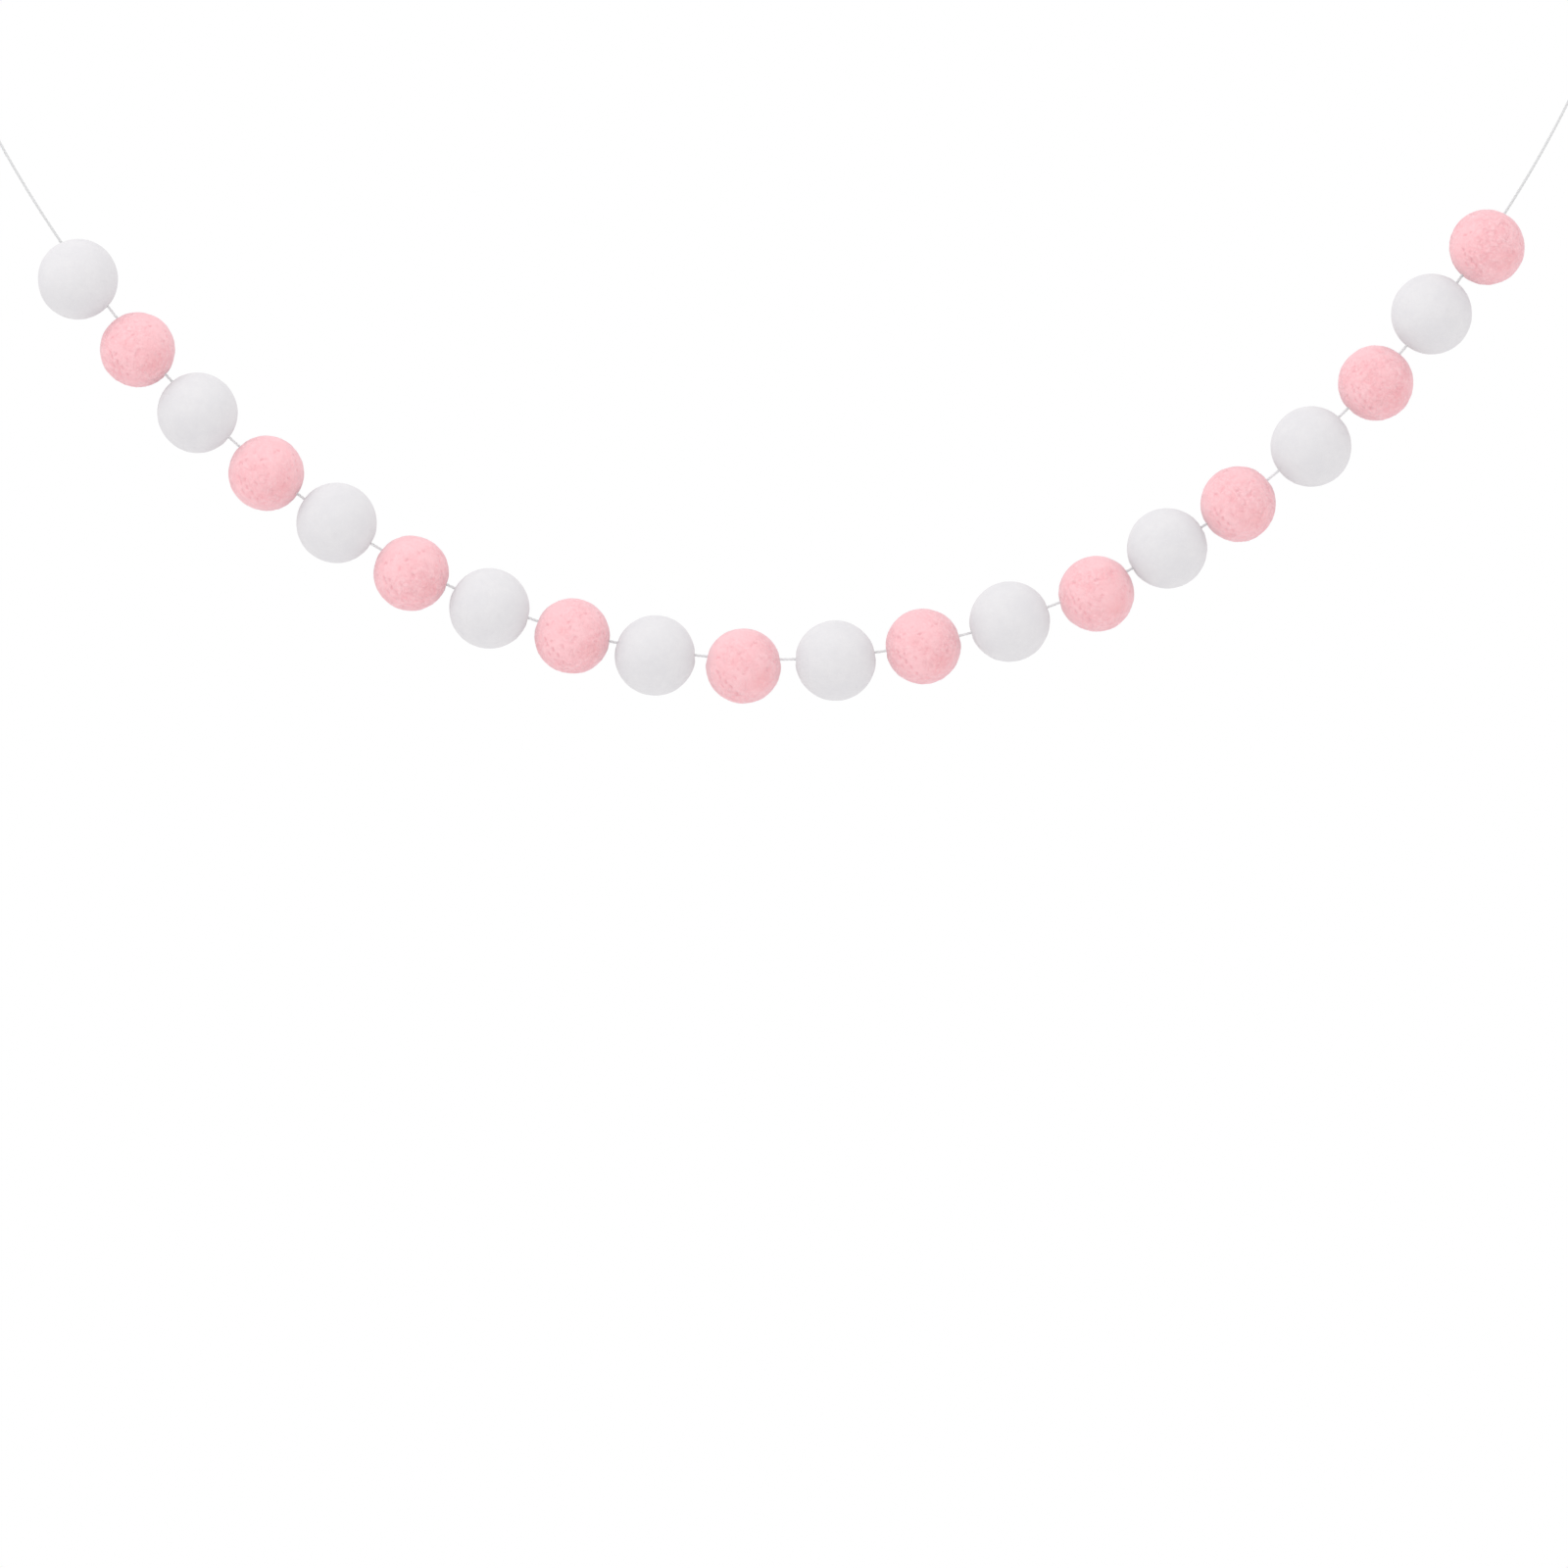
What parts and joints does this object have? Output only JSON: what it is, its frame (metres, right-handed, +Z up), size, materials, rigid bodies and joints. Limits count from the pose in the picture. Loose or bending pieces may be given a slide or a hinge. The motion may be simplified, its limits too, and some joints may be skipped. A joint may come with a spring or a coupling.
{
  "type": "felt ball garland",
  "caption": "Garland of round wool felt balls, white and pink in turn, on one cotton string that hangs in a swag between two tied end loops.",
  "frame": {"origin": "the point where the left end loop bears on its hook, inside the top of the loop", "axes": "+X along the span to the right loop, +Y away from the viewer and into the wall, +Z up"},
  "size_m": [0.5257, 0.0251, 0.219],
  "materials": {
    "white_felt": "matte wet-felted merino wool, off-white, fine fibres laid over the ball",
    "pink_felt": "matte wet-felted wool, baby pink, nubby with small creases and lighter fibres",
    "string": "soft three-ply twisted cotton, pale grey-white"
  },
  "bodies": {
    "root": {"string": "string", "left_loop": "string", "right_loop": "string", "white_ball_01": "white_felt", "pink_ball_01": "pink_felt", "white_ball_02": "white_felt", "pink_ball_02": "pink_felt", "white_ball_03": "white_felt", "pink_ball_03": "pink_felt", "white_ball_04": "white_felt", "pink_ball_04": "pink_felt", "white_ball_05": "white_felt", "pink_ball_05": "pink_felt", "white_ball_06": "white_felt", "pink_ball_06": "pink_felt", "white_ball_07": "white_felt", "pink_ball_07": "pink_felt", "white_ball_08": "white_felt", "pink_ball_08": "pink_felt", "white_ball_09": "white_felt", "pink_ball_09": "pink_felt", "white_ball_10": "white_felt", "pink_ball_10": "pink_felt"}
  },
  "joints": []
}
